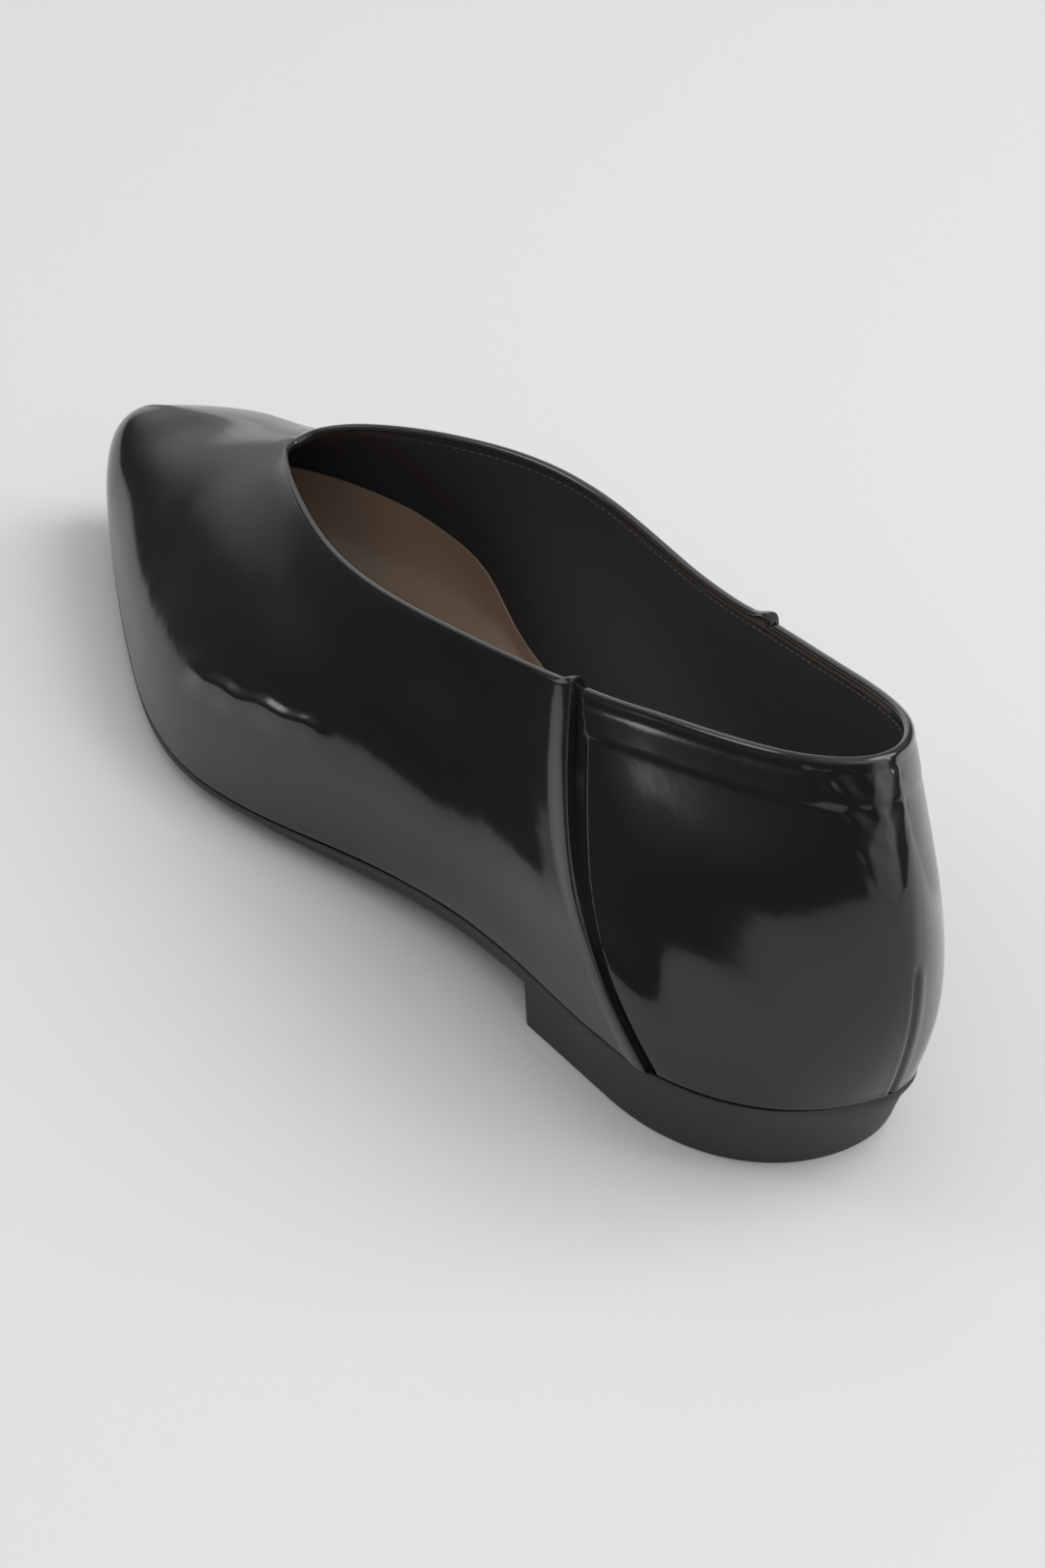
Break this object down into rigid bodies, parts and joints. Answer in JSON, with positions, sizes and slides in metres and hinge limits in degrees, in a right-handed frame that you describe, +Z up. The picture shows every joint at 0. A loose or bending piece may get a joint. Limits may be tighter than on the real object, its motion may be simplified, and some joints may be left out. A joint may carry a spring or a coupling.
{
  "type": "flat shoe",
  "caption": "Pointed flat shoe for the left foot: a hollow patent leather upper with slanted side seams, insole, thin outsole and low heel block, open at the collar for a foot.",
  "frame": {"origin": "on the floor below the middle of the shoe's box", "axes": "+Y towards the toe, +X towards the medial side, +Z up"},
  "size_m": [0.0746, 0.279, 0.0769],
  "materials": {
    "upper": "black patent, high gloss, matt lining inside",
    "insole": "brown sock, soft sheen",
    "outsole": "matt black",
    "heel": "matt black"
  },
  "bodies": {
    "root": {"upper": "upper", "insole": "insole", "outsole": "outsole", "heel": "heel"}
  },
  "joints": []
}
